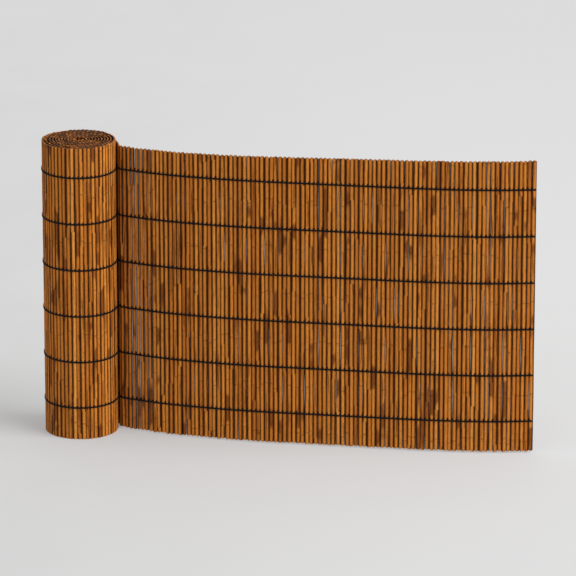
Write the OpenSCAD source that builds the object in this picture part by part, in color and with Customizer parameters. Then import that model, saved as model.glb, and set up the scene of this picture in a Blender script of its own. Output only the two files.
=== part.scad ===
// A fence of upright split-bamboo slats, bound side by side with rows of twine.
// Part of it stands rolled up on end, and the rest runs free in a shallow curve.
// Sizes are in millimetres, Z is up and the slats stand on the XY plane.

/* [Slats] */
// Length of a full slat
slat_length = 1000; // [800:10:1200]
// Width of an average slat
slat_width = 13; // [12:0.1:13.1]
// Thickness through the middle of a slat
slat_thickness = 5.5; // [4.5:0.1:6.5]
// Thickness left along the two side edges of a slat
slat_edge_thickness = 1.8; // [1.2:0.1:2.4]
// Most that a slat is wider or narrower than the average
width_spread = 0.2; // [0:0.05:0.3]
// Most that the end of a slat stands out from its neighbours
end_spread = 1.5; // [0:0.5:3.5]
// Number that the uneven widths and ends are drawn from
variation_seed = 11; // [1:1:99]

/* [Roll] */
// Radius from the middle of the roll to the innermost half turn
core_radius = 16.2; // [14:0.1:20]
// Distance from one tight turn to the next
turn_spacing = 9.9; // [9.6:0.1:11]
// Free space between the outer turn and the band round the second
outer_turn_slack = 0.5; // [0.4:0.1:8]
// Extra space between the second turn and the third
second_turn_slack = 1.9; // [0:0.1:6]
// Gap between neighbouring slats in the roll
roll_gap = 0.9; // [0.8:0.1:2]

/* [Free run] */
// Direction from the middle of the roll to where the run leaves it
leaving_angle = 4.5; // [0:0.5:12]
// Gap between neighbouring slats in the free run
run_gap = 1.8; // [1.2:0.1:3]
// Radius of the bend that turns the run away from the roll
turn_back_radius = 30; // [28:1:50]
// Angle of that bend
turn_back_angle = 57.5; // [54:0.5:62]
// Length of the first shallow curve
first_curve_length = 224; // [150:1:300]
// Angle of the first shallow curve
first_curve_angle = 11; // [5:0.5:15]
// Length of the second shallow curve
second_curve_length = 299; // [200:1:400]
// Angle of the second shallow curve
second_curve_angle = 7.5; // [4:0.5:12]
// Length of the straight stretch
straight_length = 418; // [200:1:600]
// Length of the third shallow curve
third_curve_length = 200; // [100:1:300]
// Angle of the third shallow curve
third_curve_angle = 4.5; // [2:0.5:8]
// Length of the curve at the free end
end_curve_length = 240; // [150:1:350]
// Angle of the curve at the free end
end_curve_angle = 11; // [4:0.5:16]
// Height of the average slat foot above the floor in the free run
run_lift = 6; // [4:0.5:10]
// How far the slat tops dip where the run leaves the roll
top_dip = 20; // [0:1:30]
// Length over which the dip fades along the run
run_dip_reach = 900; // [400:10:1200]
// Length over which the dip fades back into the roll
roll_dip_reach = 200; // [100:10:300]

/* [Twine] */
// Height of the lowest row of twine above the floor
first_row_height = 110; // [80:1:150]
// Distance from the highest row of twine to the top of a full slat
top_row_margin = 100; // [60:1:150]
// Height of the twine where it crosses a slat
twine_height = 3.6; // [3:0.1:4.5]
// Thickness of the twine on a slat face
twine_thickness = 1.8; // [1.2:0.1:2.2]
// Space left all round a slat inside its loop of twine
loop_clearance = 0.2; // [0.1:0.05:0.25]

/* [Hidden] */
row_count = 6;
run_section_count = 8;

// A slat is bounded by two round faces, whose centres lie beyond its opposite faces.
half_width = slat_width / 2;
half_edge = slat_edge_thickness / 2;
half_thickness = slat_thickness / 2;
face_offset = (half_width * half_width + half_edge * half_edge - half_thickness * half_thickness)
  / (2 * (half_thickness - half_edge));
face_radius = face_offset + half_thickness;
loop_reach = loop_clearance + twine_thickness;

// The roll is a chain of half turns, counted from the outside inward.
half_turn_count = 22;
loose_turn_spacing = turn_spacing + second_turn_slack;
outer_turn_spacing = turn_spacing + twine_thickness + outer_turn_slack;
function inward_step(half) =
  (half < 2 ? outer_turn_spacing : half < 4 ? loose_turn_spacing : turn_spacing) / 2;
function sum_to(list, count) = count < 1 ? 0 : list[count - 1] + sum_to(list, count - 1);
inward_steps = [for (half = [0 : half_turn_count - 1]) inward_step(half)];
outer_radius = core_radius + sum_to(inward_steps, half_turn_count - 1);
half_radii = [for (half = [0 : half_turn_count - 1]) outer_radius - sum_to(inward_steps, half)];
half_centres = [for (half = [0 : half_turn_count - 1])
  inward_steps[0] / 2 - (half % 2 == 0 ? 0 : inward_steps[half - 1])];
half_lengths = [for (radius = half_radii) PI * radius];
half_starts = [for (half = [0 : half_turn_count - 1]) sum_to(half_lengths, half)];
function half_at(distance) = len([for (start = half_starts) if (start <= distance) start]) - 1;
function angle_at(distance) = leaving_angle + 180 * half_at(distance)
  + (distance - half_starts[half_at(distance)]) / half_radii[half_at(distance)] * 180 / PI;
function roll_point(distance) =
  half_centres[half_at(distance)] * [cos(leaving_angle), sin(leaving_angle)]
  + half_radii[half_at(distance)] * [cos(angle_at(distance)), sin(angle_at(distance))];
roll_pitch = slat_width + roll_gap;
roll_slat_count = floor(sum_to(half_lengths, half_turn_count) / roll_pitch);
function roll_distance(slat) = (slat + 0.5) * roll_pitch;

// The free run is a chain of arcs, each with a length and the angle it turns through.
run_lengths = [
  turn_back_radius * turn_back_angle * PI / 180,
  first_curve_length, second_curve_length, straight_length, third_curve_length, end_curve_length
];
run_angles = [
  turn_back_angle, first_curve_angle, second_curve_angle, 0, third_curve_angle, end_curve_angle
];
function arc_step(length, heading, turned) = turned == 0
  ? length * [cos(heading), sin(heading)]
  : length / turned * 180 / PI
    * [sin(heading + turned) - sin(heading), cos(heading) - cos(heading + turned)];
function arc_start(arc) = sum_to(run_lengths, arc);
function arc_heading(arc) = leaving_angle - 90 + sum_to(run_angles, arc);
function arc_point(arc) = arc < 1
  ? roll_point(0)
  : arc_point(arc - 1) + arc_step(run_lengths[arc - 1], arc_heading(arc - 1), run_angles[arc - 1]);
function arc_at(distance) =
  len([for (arc = [0 : len(run_lengths) - 1]) if (arc_start(arc) <= distance) arc]) - 1;
function turned_at(distance) = run_angles[arc_at(distance)]
  * (distance - arc_start(arc_at(distance))) / run_lengths[arc_at(distance)];
function run_heading(distance) = arc_heading(arc_at(distance)) + turned_at(distance);
function run_point(distance) = arc_point(arc_at(distance)) + arc_step(
  distance - arc_start(arc_at(distance)), arc_heading(arc_at(distance)), turned_at(distance));
run_pitch = slat_width + run_gap;
run_slat_count = floor(sum_to(run_lengths, len(run_lengths)) / run_pitch);
function run_distance(slat) = (slat + 0.5) * run_pitch;

// One list holds the place and direction of every slat, the roll's first.
slat_count = roll_slat_count + run_slat_count;
function in_roll(slat) = slat < roll_slat_count;
function run_index(slat) = slat - roll_slat_count;
points = [for (slat = [0 : slat_count - 1])
  in_roll(slat) ? roll_point(roll_distance(slat)) : run_point(run_distance(run_index(slat)))];
headings = [for (slat = [0 : slat_count - 1])
  in_roll(slat) ? angle_at(roll_distance(slat)) - 90 : run_heading(run_distance(run_index(slat)))];
width_draws = rands(-1, 1, slat_count, variation_seed);
foot_draws = rands(-1, 1, slat_count, variation_seed + 100);
top_draws = rands(-1, 1, slat_count, variation_seed + 200);
function dip(slat) = top_dip * exp(-pow(in_roll(slat)
  ? roll_distance(slat) / roll_dip_reach
  : run_distance(run_index(slat)) / run_dip_reach, 2));
function half_slat(slat) = half_width + width_spread / 2 * width_draws[slat];
function foot(slat) = in_roll(slat) ? 0 : run_lift + end_spread * foot_draws[slat];
function top(slat) = slat_length - dip(slat) + end_spread * (top_draws[slat] - 1) / 2;

// The middle of the fence's outline in plan goes to the origin.
face_centre_left = min([for (slat = [0 : roll_slat_count - 1])
  points[slat][0] + face_offset * sin(headings[slat])]);
face_centre_back = max([for (slat = [0 : roll_slat_count - 1])
  points[slat][1] - face_offset * cos(headings[slat])]);
face_centre_front = min([for (slat = [roll_slat_count : slat_count - 1])
  points[slat][1] + face_offset * cos(headings[slat])]);
last = slat_count - 1;
end_half_length = half_slat(last) + loop_reach;
end_half_depth = sqrt(pow(face_radius + loop_reach, 2) - pow(end_half_length, 2)) - face_offset;
left = face_centre_left - face_radius - loop_reach;
right = points[last][0] + end_half_length * cos(headings[last])
  + end_half_depth * abs(sin(headings[last]));
back = face_centre_back + face_radius + loop_reach;
front = face_centre_front - face_radius - loop_reach;
shift = [-(left + right) / 2, -(front + back) / 2];

// Slats of the outer turn and the free run have loops, and one band serves the hidden turns.
outer_turn_slat_count = len([for (slat = [0 : roll_slat_count - 1])
  if (roll_distance(slat) < half_starts[2]) slat]);
looped_slats = concat(
  [for (slat = [outer_turn_slat_count - 1 : -1 : 0]) slat],
  [for (slat = [roll_slat_count : slat_count - 1]) slat]
);
band_offset = half_thickness + loop_clearance;
band_thickness = turn_spacing - slat_thickness - 2 * loop_clearance;
band_inset = 0.1;
band_overlap = 2;
band_lead = half_starts[2] - roll_distance(outer_turn_slat_count - 1) - half_width / 2;
row_spacing = (slat_length - first_row_height - top_row_margin) / (row_count - 1);
function row_height(row) = first_row_height + (row - 1) * row_spacing;
bamboo = [0.62, 0.40, 0.19];
dark_twine = [0.10, 0.09, 0.08];

module at_slat(slat) {
  translate([points[slat][0] + shift[0], points[slat][1] + shift[1], 0])
    rotate([0, 0, headings[slat]])
      children();
}

module slat_outline(half, grown) {
  intersection() {
    translate([0, -face_offset])
      circle(r = face_radius + grown, $fn = 96);
    translate([0, face_offset])
      circle(r = face_radius + grown, $fn = 96);
    square([2 * (half + grown), 2 * (slat_thickness + grown)], center = true);
  }
}

module slat(slat) {
  at_slat(slat)
    translate([0, 0, foot(slat)])
      linear_extrude(height = top(slat) - foot(slat))
        slat_outline(half_slat(slat), 0);
}

module roll_turn(turn) {
  color(bamboo)
    for (slat = [0 : roll_slat_count - 1])
      if (floor(half_at(roll_distance(slat)) / 2) + 1 == turn)
        slat(slat);
}

module run_section(section) {
  color(bamboo)
    for (slat = [roll_slat_count : slat_count - 1])
      if (floor(run_index(slat) * run_section_count / run_slat_count) + 1 == section)
        slat(slat);
}

module loops() {
  linear_extrude(height = twine_height, center = true)
    difference() {
      union()
        for (slat = looped_slats)
          at_slat(slat)
            slat_outline(half_slat(slat), loop_reach);
      for (slat = concat(looped_slats, [outer_turn_slat_count]))
        at_slat(slat)
          slat_outline(half_slat(slat), loop_clearance);
    }
}

module band_arc(half, start, angle, inset) {
  centre = half_centres[half] * [cos(leaving_angle), sin(leaving_angle)];
  translate([centre[0], centre[1], 0])
    rotate([0, 0, start])
      rotate_extrude(angle = angle, $fn = 96)
        translate([half_radii[half] + band_offset + inset, inset - twine_height / 2])
          square([band_thickness - 2 * inset, twine_height - 2 * inset]);
}

// Every second half turn of the band is a little smaller all round, and its ends plug into its neighbours.
module hidden_band() {
  lead_angle = round(band_lead / half_radii[2] * 180 / PI);
  translate([shift[0], shift[1], 0]) {
    band_arc(2, leaving_angle - lead_angle, 180 + lead_angle, 0);
    for (half = [3 : 2 : half_turn_count - 1])
      band_arc(half, leaving_angle + 180 - band_overlap, 180 + 2 * band_overlap, band_inset);
    for (half = [4 : 2 : half_turn_count - 1])
      band_arc(half, leaving_angle, 180, 0);
  }
}

module binding_row(row) {
  color(dark_twine)
    translate([0, 0, row_height(row)])
      union() {
        loops();
        hidden_band();
      }
}

module roll_turn_1() {
  roll_turn(1);
}

module roll_turn_2() {
  roll_turn(2);
}

module roll_turn_3() {
  roll_turn(3);
}

module roll_turn_4() {
  roll_turn(4);
}

module roll_turn_5() {
  roll_turn(5);
}

module roll_turn_6() {
  roll_turn(6);
}

module roll_turn_7() {
  roll_turn(7);
}

module roll_turn_8() {
  roll_turn(8);
}

module roll_turn_9() {
  roll_turn(9);
}

module roll_turn_10() {
  roll_turn(10);
}

module roll_turn_11() {
  roll_turn(11);
}

module run_section_1() {
  run_section(1);
}

module run_section_2() {
  run_section(2);
}

module run_section_3() {
  run_section(3);
}

module run_section_4() {
  run_section(4);
}

module run_section_5() {
  run_section(5);
}

module run_section_6() {
  run_section(6);
}

module run_section_7() {
  run_section(7);
}

module run_section_8() {
  run_section(8);
}

module binding_row_1() {
  binding_row(1);
}

module binding_row_2() {
  binding_row(2);
}

module binding_row_3() {
  binding_row(3);
}

module binding_row_4() {
  binding_row(4);
}

module binding_row_5() {
  binding_row(5);
}

module binding_row_6() {
  binding_row(6);
}

roll_turn_1();
roll_turn_2();
roll_turn_3();
roll_turn_4();
roll_turn_5();
roll_turn_6();
roll_turn_7();
roll_turn_8();
roll_turn_9();
roll_turn_10();
roll_turn_11();
run_section_1();
run_section_2();
run_section_3();
run_section_4();
run_section_5();
run_section_6();
run_section_7();
run_section_8();
binding_row_1();
binding_row_2();
binding_row_3();
binding_row_4();
binding_row_5();
binding_row_6();
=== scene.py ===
import bpy
import math
import numpy as np
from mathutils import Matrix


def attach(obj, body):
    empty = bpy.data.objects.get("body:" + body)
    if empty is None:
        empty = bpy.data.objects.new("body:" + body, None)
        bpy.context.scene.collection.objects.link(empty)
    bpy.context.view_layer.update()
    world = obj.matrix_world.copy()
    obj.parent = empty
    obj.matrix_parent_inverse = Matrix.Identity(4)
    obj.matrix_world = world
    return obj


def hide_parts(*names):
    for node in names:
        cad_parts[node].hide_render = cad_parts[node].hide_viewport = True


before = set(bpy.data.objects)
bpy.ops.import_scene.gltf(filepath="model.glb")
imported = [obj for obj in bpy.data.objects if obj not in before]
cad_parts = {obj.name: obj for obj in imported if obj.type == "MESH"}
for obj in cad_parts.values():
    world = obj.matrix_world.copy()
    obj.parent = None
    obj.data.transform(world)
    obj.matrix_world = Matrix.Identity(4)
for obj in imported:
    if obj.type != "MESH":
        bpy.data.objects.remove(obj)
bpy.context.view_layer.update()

# Sizes in metres, in the same frame as the CAD.
ROLL_CENTRE = np.array([-0.680322, 0.0713088])
# Direction from the middle of the roll to where the run leaves it.
LEAVING = math.radians(4.5)
# How far each half turn of the roll steps inward, from the outermost on.
STEPS = [0.0061] * 2 + [0.0059] * 2 + [0.00495] * 18
OUTER_RADIUS = 0.12435
# Lengths along the free run, each with the angle in degrees that it turns through.
ARCS = [
    (0.030 * math.radians(57.5), 57.5), (0.224, 11), (0.299, 7.5), (0.418, 0), (0.200, 4.5), (0.240, 11)
]
ROLL_PITCH = 0.0139
RUN_PITCH = 0.0148
ROLL_SLATS = 341
RUN_SLATS = 95
OUTER_TURN_SLATS = 55
HALF_THICKNESS = 0.00275
ROW_SPACING = 0.158
ROWS = [0.110 + ROW_SPACING * k for k in range(6)]
# A slat has a joint in every bay, about this far below each row of twine.
JOINT_DROP = 0.066
JOINT_SPREAD = 0.009
rng = np.random.default_rng(7)


def direction(angle):
    """The level unit vector at an angle."""
    return np.array([math.cos(angle), math.sin(angle)])


def slat_axes(heading):
    """Unit vectors along the width of a slat and out of its face."""
    along = direction(heading)
    return along, np.array([-along[1], along[0]])


def roll_place(distance):
    """Place and heading on the roll, at a distance back from where the run leaves it."""
    half, radius = 0, OUTER_RADIUS
    centre = STEPS[0] / 2
    while distance > math.pi * radius:
        distance -= math.pi * radius
        centre += STEPS[half] if half % 2 else -STEPS[half]
        radius -= STEPS[half]
        half += 1
    angle = LEAVING + math.pi * half + distance / radius
    return ROLL_CENTRE + centre * direction(LEAVING) + radius * direction(angle), angle - math.pi / 2


def run_place(distance):
    """Place and heading on the free run, at a distance on from where it leaves the roll."""
    place, heading = roll_place(0)
    for number, (length, turn) in enumerate(ARCS):
        last = number == len(ARCS) - 1
        part = distance if last else min(distance, length)
        turned = math.radians(turn) * part / length
        if abs(turned) < 1e-9:
            place = place + part * direction(heading)
        else:
            after = heading + turned
            place = place + part / turned * np.array(
                [math.sin(after) - math.sin(heading), math.cos(heading) - math.cos(after)])
        heading += turned
        distance -= part
        if distance <= 0:
            break
    return place, heading


def solids_of(node):
    """Each solid of a CAD node as the points of one closed mesh."""
    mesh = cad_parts[node].data
    points = np.empty(len(mesh.vertices) * 3)
    mesh.vertices.foreach_get("co", points)
    points = points.reshape(-1, 3)
    _, same = np.unique(np.round(points, 5), axis=0, return_inverse=True)
    same = same.reshape(-1)
    edges = np.empty(len(mesh.edges) * 2, dtype=np.int64)
    mesh.edges.foreach_get("vertices", edges)
    edges = same[edges.reshape(-1, 2)]
    # The lowest number in each connected group of points spreads to all of it.
    label = np.arange(same.max() + 1)
    while True:
        low = np.minimum(label[edges[:, 0]], label[edges[:, 1]])
        new = label.copy()
        np.minimum.at(new, edges[:, 0], low)
        np.minimum.at(new, edges[:, 1], low)
        new = new[new]
        if (new == label).all():
            break
        label = new
    label = label[same]
    return [points[label == k] for k in np.unique(label)]


class Slat:
    """A slat's place and heading. Its size is read from the CAD, and its look is drawn later."""

    def __init__(self, place, heading, in_run, looped):
        self.place, self.heading, self.in_run, self.looped = place, heading, in_run, looped
        self.node = None


def read_slats():
    """Every slat of the CAD with its place, heading, width, foot and top, from the core to the free end."""
    slats = [
        Slat(*roll_place((number + 0.5) * ROLL_PITCH), False, number < OUTER_TURN_SLATS)
        for number in range(ROLL_SLATS - 1, -1, -1)]
    slats += [Slat(*run_place((number + 0.5) * RUN_PITCH), True, True) for number in range(RUN_SLATS)]
    places = np.array([s.place for s in slats])
    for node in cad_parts:
        if node.startswith("binding"):
            continue
        for points in solids_of(node):
            low, high = points.min(0), points.max(0)
            near = np.linalg.norm(places - (low[:2] + high[:2]) / 2, axis=1)
            slat = slats[int(near.argmin())]
            if near.min() > 0.002 or slat.node:
                raise RuntimeError(f"{node}: a solid has no slat of its own")
            reach = (points[:, :2] - slat.place) @ direction(slat.heading)
            slat.node = node
            slat.half = (reach.max() - reach.min()) / 2
            slat.foot, slat.top = low[2], high[2]
    return slats


slats = read_slats()


class Builder:
    """Collects points, faces and point values for one mesh."""

    def __init__(self, *values):
        self.points, self.faces, self.slots, self.count = [], [], [], 0
        self.values = {name: [] for name in values}

    def add(self, points, faces, slot=0, **values):
        self.points.append(points)
        self.faces.extend(tuple(int(i) + self.count for i in face) for face in faces)
        self.slots.extend([slot] * len(faces))
        for name in self.values:
            self.values[name].append(np.broadcast_to(values.get(name, 0.0), (len(points),)))
        self.count += len(points)

    def make(self, name, materials, smooth=True):
        mesh = bpy.data.meshes.new(name)
        mesh.from_pydata(np.concatenate(self.points).tolist(), [], self.faces)
        for material in materials:
            mesh.materials.append(material)
        mesh.polygons.foreach_set("material_index", self.slots)
        mesh.polygons.foreach_set("use_smooth", [smooth] * len(self.faces))
        for key, lists in self.values.items():
            layer = mesh.attributes.new(key, "FLOAT", "POINT")
            layer.data.foreach_set("value", np.concatenate(lists).astype(np.float32))
        mesh.update()
        piece = bpy.data.objects.new(name, mesh)
        bpy.context.scene.collection.objects.link(piece)
        return piece


def ring_faces(rings, around):
    """Quads that join rings of equal point counts into a closed wall."""
    faces = []
    for ring in range(rings - 1):
        low = ring * around
        for k in range(around):
            after = (k + 1) % around
            faces.append((low + k, low + after, low + after + around, low + k + around))
    return faces


def capped_faces(rings, around):
    """The same wall with a face over each of its two ends."""
    faces = ring_faces(rings, around)
    faces.append(tuple(range(around - 1, -1, -1)))
    faces.append(tuple((rings - 1) * around + k for k in range(around)))
    return faces


# Materials.
def colour(shade):
    """Screen red, green and blue from 0 to 255 as the linear colour that Blender takes."""
    parts = [c / 255 for c in shade]
    return tuple(c / 12.92 if c <= 0.04045 else ((c + 0.055) / 1.055) ** 2.4 for c in parts) + (1.0,)


class Nodes:
    """Short calls for building one material's node tree."""

    def __init__(self, name):
        self.material = bpy.data.materials.new(name)
        self.material.use_nodes = True
        self.tree = self.material.node_tree
        self.shader = self.tree.nodes["Principled BSDF"]

    def node(self, kind, **settings):
        node = self.tree.nodes.new(kind)
        for key, value in settings.items():
            setattr(node, key, value)
        return node

    def put(self, socket, value):
        if isinstance(value, bpy.types.NodeSocket):
            self.tree.links.new(value, socket)
        elif value is not None:
            socket.default_value = value

    def put_all(self, node, *values):
        for socket, value in zip(node.inputs, values):
            self.put(socket, value)
        return node.outputs[0]

    def math(self, operation, a, b=None):
        return self.put_all(self.node("ShaderNodeMath", operation=operation), a, b)

    def times(self, a, b):
        return self.math("MULTIPLY", a, b)

    def plus(self, a, b):
        return self.math("ADD", a, b)

    def value(self, name):
        return self.node("ShaderNodeAttribute", attribute_name=name).outputs["Fac"]

    def position(self):
        return self.node("ShaderNodeNewGeometry").outputs["Position"]

    def parts(self, vector):
        node = self.node("ShaderNodeSeparateXYZ")
        self.put(node.inputs[0], vector)
        return node.outputs

    def combine(self, x, y, z):
        return self.put_all(self.node("ShaderNodeCombineXYZ"), x, y, z)

    def stretched(self, vector, z_scale):
        node = self.node("ShaderNodeMapping")
        node.inputs["Scale"].default_value = (1.0, 1.0, z_scale)
        self.put(node.inputs["Vector"], vector)
        return node.outputs[0]

    def noise(self, vector, scale, detail=3.0, roughness=0.55):
        node = self.node("ShaderNodeTexNoise")
        self.put(node.inputs["Vector"], vector)
        node.inputs["Scale"].default_value = scale
        node.inputs["Detail"].default_value = detail
        node.inputs["Roughness"].default_value = roughness
        return node.outputs["Fac"]

    def white(self, vector):
        node = self.node("ShaderNodeTexWhiteNoise", noise_dimensions="3D")
        self.put(node.inputs["Vector"], vector)
        return node.outputs["Value"]

    def ramp(self, factor, *stops):
        node = self.node("ShaderNodeValToRGB")
        elements = node.color_ramp.elements
        for number, (position, shade) in ((0, stops[0]), (1, stops[-1])):
            elements[number].position, elements[number].color = position, colour(shade)
        for position, shade in stops[1:-1]:
            elements.new(position).color = colour(shade)
        self.put(node.inputs["Fac"], factor)
        return node.outputs["Color"]

    def between(self, factor, low, high, to_low=0.0, to_high=1.0):
        node = self.node("ShaderNodeMapRange", interpolation_type="SMOOTHSTEP")
        return self.put_all(node, factor, low, high, to_low, to_high)

    def mix(self, factor, a, b):
        node = self.node("ShaderNodeMix", data_type="RGBA")
        self.put(node.inputs[0], factor)
        self.put(node.inputs[6], colour(a) if isinstance(a, tuple) else a)
        self.put(node.inputs[7], colour(b) if isinstance(b, tuple) else b)
        return node.outputs[2]

    def layers(self, base, *layers):
        """Mixes shades over a base, each by its own factor."""
        for factor, shade in layers:
            base = self.mix(factor, base, shade)
        return base

    def bump(self, height, distance, strength, normal=None):
        node = self.node("ShaderNodeBump")
        node.inputs["Strength"].default_value = strength
        node.inputs["Distance"].default_value = distance
        self.put(node.inputs["Height"], height)
        self.put(node.inputs["Normal"], normal)
        return node.outputs[0]

    def set(self, **sockets):
        for name, value in sockets.items():
            self.put(self.shader.inputs[name.replace("_", " ")], value)
        return self.material


def bamboo_skin():
    n = Nodes("bamboo_skin")
    across, tone = n.value("across"), n.value("tone")
    z = n.parts(n.position())[2]
    bays = n.math("DIVIDE", n.math("SUBTRACT", z, n.value("joint")), ROW_SPACING)
    joint = n.math("ROUND", bays)
    off_joint = n.math("ABSOLUTE", n.times(n.math("SUBTRACT", bays, joint), ROW_SPACING))

    # The patterns are in millimetres, long in z, and tone moves each slat to a part of its own.
    place = n.combine(n.times(across, 6.2), n.times(tone, 700.0), n.times(z, 1000.0))
    fibres = n.noise(n.stretched(place, 0.03), 1.6, 4.0, 0.6)
    short_place = n.stretched(place, 0.09)
    blotches = n.noise(short_place, 0.28, 4.0, 0.62)
    specks = n.noise(short_place, 0.9, 2.0, 0.5)
    stretch_place = n.combine(n.times(across, 0.06), n.times(tone, 900.0), n.times(z, 4.5))
    stretches = n.noise(stretch_place, 1.0, 2.0, 0.5)
    streak_place = n.combine(n.times(across, 1.3), n.times(tone, 830.0), n.times(z, 5.5))
    streaks = n.noise(streak_place, 1.0, 2.0, 0.5)
    bay_draw = n.white(n.combine(n.times(tone, 91.7), n.math("FLOOR", bays), 0.5))
    base = n.ramp(
        tone, (0.0, (198, 115, 41)), (0.25, (213, 129, 45)), (0.5, (231, 146, 57)),
        (0.75, (215, 131, 48)), (0.9, (203, 120, 45)), (1.0, (241, 160, 71)))
    base = n.layers(
        base,
        (n.between(bay_draw, 0.12, 0.0, 0.0, 0.35), (206, 140, 70)),
        (n.between(stretches, 0.615, 0.655, 0.0, 0.75), (96, 46, 14)),
        (n.between(streaks, 0.58, 0.66, 0.0, 0.7), (100, 46, 13)),
        (n.between(fibres, 0.30, 0.68, 0.5, 0.0), (108, 50, 12)),
        (n.between(blotches, 0.56, 0.74, 0.0, 0.55), (132, 78, 34)),
        (n.between(blotches, 0.40, 0.24, 0.0, 0.4), (232, 158, 70)),
        (n.between(specks, 0.63, 0.74, 0.0, 0.75), (58, 24, 6)))

    # The dark side edges shift a little to and fro, at heights of each slat's own. They are partly the
    # darker colour of the split edges and partly painted shade of the grooves between the slats.
    side_height = n.math("FLOOR", n.plus(n.times(z, 3.5), n.times(tone, 613.0)))
    side_draw = n.white(n.combine(n.times(tone, 67.9), side_height, 6.5))
    uneven = n.plus(across, n.between(side_draw, 0.0, 1.0, -0.26, 0.26))
    edge_colour_and_shade = n.between(n.math("ABSOLUTE", uneven), 0.25, 0.92)
    line_draw = n.white(n.combine(n.times(tone, 37.3), joint, 2.5))
    line = n.times(n.between(off_joint, 0.0024, 0.0010), n.between(line_draw, 0.35, 0.7, 0.05, 0.5))
    # The last layer paints shade over the slats hidden inside the roll.
    base = n.layers(
        base,
        (n.times(edge_colour_and_shade, 0.96), (36, 12, 2)),
        (line, (58, 26, 9)),
        (n.times(n.value("inner"), 0.75), (34, 20, 11)))
    relief = n.plus(n.times(fibres, 0.55), n.times(blotches, 0.45))
    normal = n.bump(relief, 0.0006, 0.6)
    normal = n.bump(n.between(off_joint, 0.004, 0.001), 0.0005, 0.7, normal)
    return n.set(
        Base_Color=base, Roughness=n.between(blotches, 0.25, 0.8, 0.5, 0.75), Normal=normal, IOR=1.45,
        Specular_IOR_Level=0.08)


def end_grain():
    n = Nodes("bamboo_end_grain")
    across, depth, tone = n.value("across"), n.value("depth"), n.value("tone")
    place = n.combine(n.times(across, 6.2), n.times(depth, 2.75), n.times(tone, 700.0))
    voronoi = n.node("ShaderNodeTexVoronoi")
    n.put(voronoi.inputs["Vector"], place)
    voronoi.inputs["Scale"].default_value = 1.3
    bundles = voronoi.outputs["Distance"]
    rough = n.noise(place, 0.7, 4.0, 0.65)
    rim = n.math("POWER", n.math("ABSOLUTE", depth), 4.0)
    base = n.ramp(
        tone, (0.0, (82, 50, 30)), (0.4, (116, 78, 50)), (0.7, (134, 90, 58)), (0.82, (160, 92, 38)),
        (1.0, (206, 120, 46)))
    base = n.layers(
        base,
        (n.between(bundles, 0.35, 0.15, 0.0, 0.6), (64, 38, 22)),
        (n.between(rough, 0.5, 0.75, 0.0, 0.6), (166, 128, 92)),
        (n.times(rim, 0.6), (88, 48, 20)))
    normal = n.bump(n.plus(bundles, rough), 0.0005, 0.8)
    return n.set(Base_Color=base, Roughness=0.85, Normal=normal, Specular_IOR_Level=0.15)


def twine_look():
    n = Nodes("dark_twine")
    along, row, turn = n.value("along"), n.value("row"), n.value("turn")
    strands = n.math("SINE", n.plus(n.times(along, 9000.0), n.times(turn, 6.2832)))
    fuzz = n.noise(n.combine(n.times(along, 1000.0), row, n.times(turn, 4.0)), 1.2, 3.0, 0.6)
    base = n.mix(n.between(fuzz, 0.3, 0.8), (9, 9, 9), (22, 20, 19))
    base = n.mix(n.between(strands, 0.2, 1.0, 0.0, 0.6), base, (27, 25, 24))
    normal = n.bump(n.plus(strands, fuzz), 0.0002, 0.8)
    return n.set(
        Base_Color=base, Roughness=n.between(fuzz, 0.2, 0.9, 0.7, 0.95), Normal=normal,
        Specular_IOR_Level=0.15)


skin, ends, twine = bamboo_skin(), end_grain(), twine_look()


# Slats.
FINE_SIDES, COARSE_SIDES = 16, 10
# The ends narrow over these heights. The edges of the top hang down, and those of the foot rise.
FOOT_ROUNDING, TOP_ROUNDING = 0.0035, 0.0045
RUN_TRIM, ROLL_TRIM = 0.86, 0.94
RUN_DOME, ROLL_DOME = 0.0028, 0.0007
FOOT_RISE = 0.0018
# The bamboo is a little thicker and wider at a joint.
JOINT_REACH = 0.0022
JOINT_THICKER = 0.03
JOINT_WIDER = 0.0001
# A slat with a loop of twine is dressed wider than its solid, which closes the gaps to its neighbours.
LOOPED_SPREAD = (0.0008, 0.00095)
OPEN_SPREAD = 0.0005
HIDDEN_SPREAD = 0.0002
BOW_SPREAD, BOW_LIMIT = 0.00022, 0.0007
TURN_SPREAD, TURN_LIMIT = 3, 6


def bow(slat, z):
    """How far the slat stands sideways and outwards at each height.

    It is little where the twine holds the slat.
    """
    sideways, outwards = np.zeros_like(z), np.zeros_like(z)
    stops = [slat.foot] + ROWS + [slat.top]
    for bay in range(len(stops) - 1):
        low, high = stops[bay], stops[bay + 1]
        inside = (z >= low) & (z <= high)
        part = (z[inside] - low) / (high - low)
        if bay == 0:
            shape = (1 - part) ** 1.5
        elif bay == len(stops) - 2:
            shape = part ** 1.5
        else:
            shape = np.sin(math.pi * part) ** 2
        sideways[inside] = slat.bows[bay, 0] * shape
        outwards[inside] = slat.bows[bay, 1] * shape
    return sideways, outwards


def heights(slat):
    """Heights of the rings of one slat, closer at its joints and its two ends."""
    levels = [slat.foot, slat.foot + FOOT_ROUNDING, slat.top - TOP_ROUNDING, slat.top]
    if slat.looped:
        levels += list(np.arange(slat.foot + 0.012, slat.top - 0.01, 0.026))
        for number in range(8):
            joint = slat.joint + ROW_SPACING * number
            levels += [joint - 0.003, joint, joint + 0.003]
    else:
        levels += list(np.arange(slat.foot + 0.08, slat.top - 0.05, ROW_SPACING))
    levels = np.array(sorted(level for level in levels if slat.foot <= level <= slat.top))
    kept = [levels[0]]
    for level in levels[1:-1]:
        if level - kept[-1] > 0.0005 and levels[-1] - level > 0.0005:
            kept.append(level)
    return np.array(kept + [levels[-1]])


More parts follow.
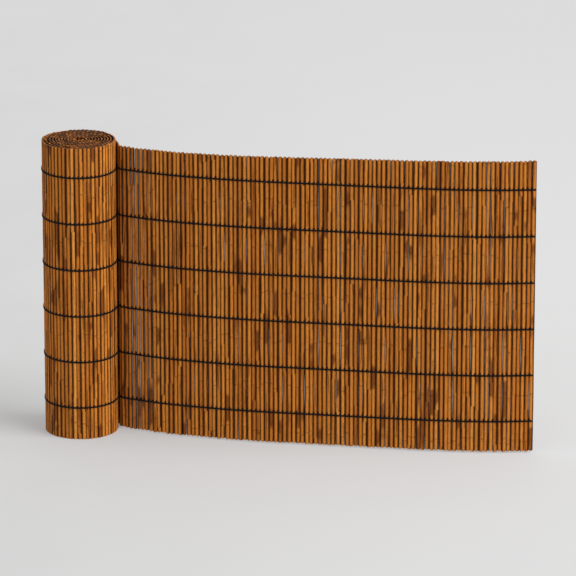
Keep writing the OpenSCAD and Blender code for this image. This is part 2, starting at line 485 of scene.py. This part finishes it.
def add_slat(builder, slat):
    around = FINE_SIDES if slat.looped else COARSE_SIDES
    turn = (np.arange(around) + 0.5) * 2 * math.pi / around
    side, out = np.cos(turn), np.sin(turn)
    side = np.sign(side) * np.abs(side) ** 0.9
    side, out = side / side.max(), out / out.max()
    crown = 1 - slat.flat * np.abs(side) * 0.1
    z = heights(slat)
    sideways, outwards = bow(slat, z)
    off_joint = (z - slat.joint) / ROW_SPACING
    off_joint = np.abs(off_joint - np.round(off_joint)) * ROW_SPACING
    swell = np.exp(-(off_joint / JOINT_REACH) ** 2)
    half = slat.half + slat.spread + JOINT_WIDER * swell
    thick = HALF_THICKNESS * (1 + JOINT_THICKER * swell) * slat.body
    trim = np.ones_like(z)
    trim[0] = trim[-1] = slat.trim
    along, outward = slat_axes(slat.heading + slat.turn)
    across = side[None, :] * (half * trim)[:, None] + sideways[:, None]
    depth = (out * crown)[None, :] * (thick * trim)[:, None] + outwards[:, None]
    points = np.empty((len(z), around, 3))
    points[:, :, :2] = slat.place + across[:, :, None] * along + depth[:, :, None] * outward
    points[:, :, 2] = z[:, None]
    tilt = slat.cut * side
    points[0, :, 2] += np.maximum(tilt, 0) + FOOT_RISE * side ** 2
    points[-1, :, 2] -= np.maximum(-tilt, 0) + slat.dome * side ** 2
    # A slat without a loop of twine lies hidden inside the roll and gets painted shade.
    builder.add(
        points.reshape(-1, 3), ring_faces(len(z), around), 0, across=np.tile(side, len(z)),
        depth=np.tile(out, len(z)), tone=slat.tone, joint=slat.joint, inner=0.0 if slat.looped else 1.0)
    upward = range(around)
    for end, level, order in ((points[0], slat.foot, upward[::-1]), (points[-1], slat.top, upward)):
        middle = end.mean(0)[None, :]
        middle[0, 2] = level
        faces = [(order[k], order[(k + 1) % around], around) for k in range(around)]
        builder.add(
            np.concatenate([end, middle]), faces, 1, across=np.append(side, 0.0), depth=np.append(out, 0.0),
            tone=slat.tone, joint=slat.joint)


for slat in slats:
    slat.tone = rng.random()
    slat.flat = rng.random()
    slat.body = rng.uniform(1.0, 1.2) if slat.looped else rng.uniform(0.95, 1.05)
    slat.cut = rng.uniform(-0.0007, 0.0007)
    slat.dome = RUN_DOME if slat.in_run else ROLL_DOME
    slat.trim = RUN_TRIM if slat.in_run else ROLL_TRIM
    slat.joint = ROWS[0] - JOINT_DROP + rng.normal(0, JOINT_SPREAD)
    slat.turn = 0.0
    if slat.looped:
        slat.turn = math.radians(np.clip(rng.normal(0, TURN_SPREAD), -TURN_LIMIT, TURN_LIMIT))
    slat.spread = rng.uniform(*LOOPED_SPREAD) if slat.looped else HIDDEN_SPREAD
    slat.bows = np.clip(rng.normal(0, BOW_SPREAD, (len(ROWS) + 1, 2)), -BOW_LIMIT, BOW_LIMIT)

# Next to the roll a few of the run's slats stand a little apart and let light through.
for slat in slats[ROLL_SLATS + 3:ROLL_SLATS + 7]:
    slat.spread = OPEN_SPREAD

# The innermost slats get the brightest tone, which shows as an orange spot at the middle of the roll's end.
for slat in slats[:3]:
    slat.tone = 1.0

for node in [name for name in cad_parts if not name.startswith("binding")]:
    builder = Builder("across", "depth", "tone", "joint", "inner")
    for slat in slats:
        if slat.node == node:
            add_slat(builder, slat)
    piece = builder.make(node + "_slats", [skin, ends])
    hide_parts(node)
    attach(piece, "root")


# Twine.
CORD_SIDES = 6
CORD_FLATNESS = 0.55
PLY_RADIUS, PLY_STEPS = 0.0022, 6
HIDDEN_RADIUS, HIDDEN_SIDES, HIDDEN_STEPS = 0.0013, 4, 3
# Least depth at which a ply passes a slat's edge, its clearance, and how far its twist moves it.
EDGE_DEPTH = 0.0016
PLY_CLEARANCE = 0.0010
TWIST_DEPTH, TWIST_LIFT = 0.0003, 0.0013
KNOT_DEPTH = 0.0036
KNOT_RISE = (0.0075, 0.0100)
ROLL_KNOT_PART = 0.8
KNOT_LEAN = (-0.0004, 0.0014)
KNOT_WIDTHS = np.array([0.0018, 0.0034, 0.0038, 0.0031, 0.0015])


def add_cord(builder, points, along, row):
    """Adds one closed length of cord, from its rings of points and how far along each ring is."""
    rings, sides = points.shape[:2]
    builder.add(
        points.reshape(-1, 3), capped_faces(rings, sides), 0, along=np.repeat(along, sides),
        turn=np.tile(np.arange(sides) / sides, rings), row=row)


def add_ply(builder, path, radius, sides, row):
    """A cord pressed flat against the slats, along a path that runs nearly level."""
    path = np.asarray(path)
    step = np.gradient(path, axis=0)
    step /= np.linalg.norm(step, axis=1)[:, None]
    flat = np.cross(step, [0.0, 0.0, 1.0])
    flat /= np.linalg.norm(flat, axis=1)[:, None]
    up = np.cross(flat, step)
    turn = np.arange(sides) * 2 * math.pi / sides
    points = (
        path[:, None, :] + CORD_FLATNESS * radius * np.cos(turn)[None, :, None] * flat[:, None, :]
        + radius * np.sin(turn)[None, :, None] * up[:, None, :])
    along = np.concatenate([[0.0], np.cumsum(np.linalg.norm(np.diff(path, axis=0), axis=1))])
    add_cord(builder, points, along, row)


def face_depth(slat, x):
    """Half thickness of a slat at a distance from its middle."""
    part = min(abs(x) / slat.half, 1)
    return HALF_THICKNESS * slat.body * math.sqrt(max(1 - part ** 2.2, 0.0))


def strand(chain, side, height, phase, steps):
    """Path of one ply that passes over one face of every slat in the chain."""
    path = []
    for slat in chain:
        along, outward = slat_axes(slat.heading)
        for k in range(steps):
            part = (k + 0.5) / steps
            x = (part * 2 - 1) * (slat.half + 0.0005)
            twist = phase + part * 2 * math.pi
            depth = max(face_depth(slat, x), EDGE_DEPTH) + PLY_CLEARANCE + TWIST_DEPTH * math.cos(twist)
            place = slat.place + x * along + side * depth * outward
            path.append((place[0], place[1], height + TWIST_LIFT * math.sin(twist)))
    return path


def add_knot(builder, before, after, side, height, row):
    """The small hitch between two slats, which stands a little above the line."""
    along, outward = slat_axes((before.heading + after.heading) / 2)
    outward = side * outward
    place = (before.place + after.place) / 2 + KNOT_DEPTH * outward
    rise = rng.uniform(*KNOT_RISE) * (1.0 if before.in_run else ROLL_KNOT_PART)
    lean = rng.uniform(*KNOT_LEAN)
    levels = np.array([-0.0032, -0.0020, 0.0016, rise * 0.7, rise])
    turn = np.arange(CORD_SIDES) * 2 * math.pi / CORD_SIDES
    points = np.empty((len(levels), CORD_SIDES, 3))
    reach = KNOT_WIDTHS[:, None] * np.cos(turn)[None, :] + np.maximum(levels, 0)[:, None] / rise * lean
    depth = 0.5 * KNOT_WIDTHS[:, None] * np.sin(turn)[None, :]
    points[:, :, :2] = place + reach[:, :, None] * along + depth[:, :, None] * outward
    points[:, :, 2] = height + levels[:, None]
    add_cord(builder, points, levels, row)


hidden = [s for s in slats if not s.looped]
looped = [s for s in slats if s.looped]
for number, height in enumerate(ROWS):
    builder = Builder("along", "turn", "row")
    for side in (1, -1):
        for ply in (0, 1):
            path = strand(looped, side, height, number + side + ply * math.pi, PLY_STEPS)
            add_ply(builder, path, PLY_RADIUS, CORD_SIDES, number + ply * 0.37)
        path = strand(hidden, side, height, number, HIDDEN_STEPS)
        add_ply(builder, path, HIDDEN_RADIUS, HIDDEN_SIDES, number)
        for before, after in zip(looped[:-1], looped[1:]):
            add_knot(builder, before, after, side, height, number)
    piece = builder.make(f"binding_row_{number + 1}_twine", [twine])
    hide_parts(f"binding_row_{number + 1}")
    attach(piece, "root")


# Floor, light and camera.
FLOOR_REACH = 60
SKY_STRENGTH = 0.66
SEEN_SKY_EXTRA = 0.08
CAMERA_PLACE = (-0.1133, -16.1060, 5.5705)
CAMERA_DOWN, CAMERA_TURN = 17.448, -0.4125
CAMERA_LENS = 320.64


def pale_floor():
    n = Nodes("pale_floor")
    place = n.position()
    x, y, _ = n.parts(place)
    # The floor is darker towards the left and the back, as painted shade where the light falls off. It also
    # glows evenly in its own colour, which lifts the shadows cast on it.
    base = n.mix(n.between(x, -1.5, 0.9), (160, 160, 160), (171, 171, 171))
    base = n.layers(
        base,
        (n.between(y, 1.0, 7.0, 0.0, 0.8), (163, 163, 163)),
        (n.between(n.noise(place, 2.0), 0.3, 0.7, 0.0, 0.3), (168, 168, 168)))
    return n.set(
        Base_Color=base, Roughness=0.9, Specular_IOR_Level=0.1, Emission_Color=base, Emission_Strength=0.6)


floor_builder = Builder()
floor_corners = np.array([[-1, -1, 0], [1, -1, 0], [1, 1, 0], [-1, 1, 0]], dtype=float)
floor_builder.add(FLOOR_REACH * floor_corners, [(0, 1, 2, 3)])
floor = floor_builder.make("floor", [pale_floor()], smooth=False)

world = bpy.data.worlds.new("studio")
bpy.context.scene.world = world
world.use_nodes = True
sky = world.node_tree
background = sky.nodes["Background"]
background.inputs["Color"].default_value = (1, 1, 1, 1)
# The sky is a little paler where it is seen than where it lights the fence.
seen = sky.nodes.new("ShaderNodeLightPath")
strength = None
for name in ("Is Camera Ray", "Is Glossy Ray", "Is Transmission Ray"):
    level = sky.nodes.new("ShaderNodeMath")
    level.operation = "MULTIPLY_ADD"
    sky.links.new(seen.outputs[name], level.inputs[0])
    level.inputs[1].default_value = SEEN_SKY_EXTRA
    if strength is None:
        level.inputs[2].default_value = SKY_STRENGTH
    else:
        sky.links.new(strength, level.inputs[2])
    strength = level.outputs[0]
sky.links.new(strength, background.inputs["Strength"])


def sun(name, strength, spread, azimuth, elevation):
    """A soft lamp far off. Azimuth 0 is in front of the fence and 90 at its right."""
    lamp = bpy.data.lights.new(name, "SUN")
    lamp.energy = strength
    lamp.angle = math.radians(spread)
    item = bpy.data.objects.new(name, lamp)
    item.rotation_euler = (math.radians(90 - elevation), 0, math.radians(azimuth))
    bpy.context.scene.collection.objects.link(item)


sun("key", strength=2.75, spread=46, azimuth=65, elevation=44)

lens = bpy.data.cameras.new("camera")
lens.sensor_width = 36
lens.lens = CAMERA_LENS
lens.clip_end = 200
camera = bpy.data.objects.new("camera", lens)
camera.location = CAMERA_PLACE
camera.rotation_euler = (math.radians(90 - CAMERA_DOWN), 0, math.radians(CAMERA_TURN))
bpy.context.scene.collection.objects.link(camera)
bpy.context.scene.camera = camera
bpy.context.scene.view_settings.view_transform = "Standard"
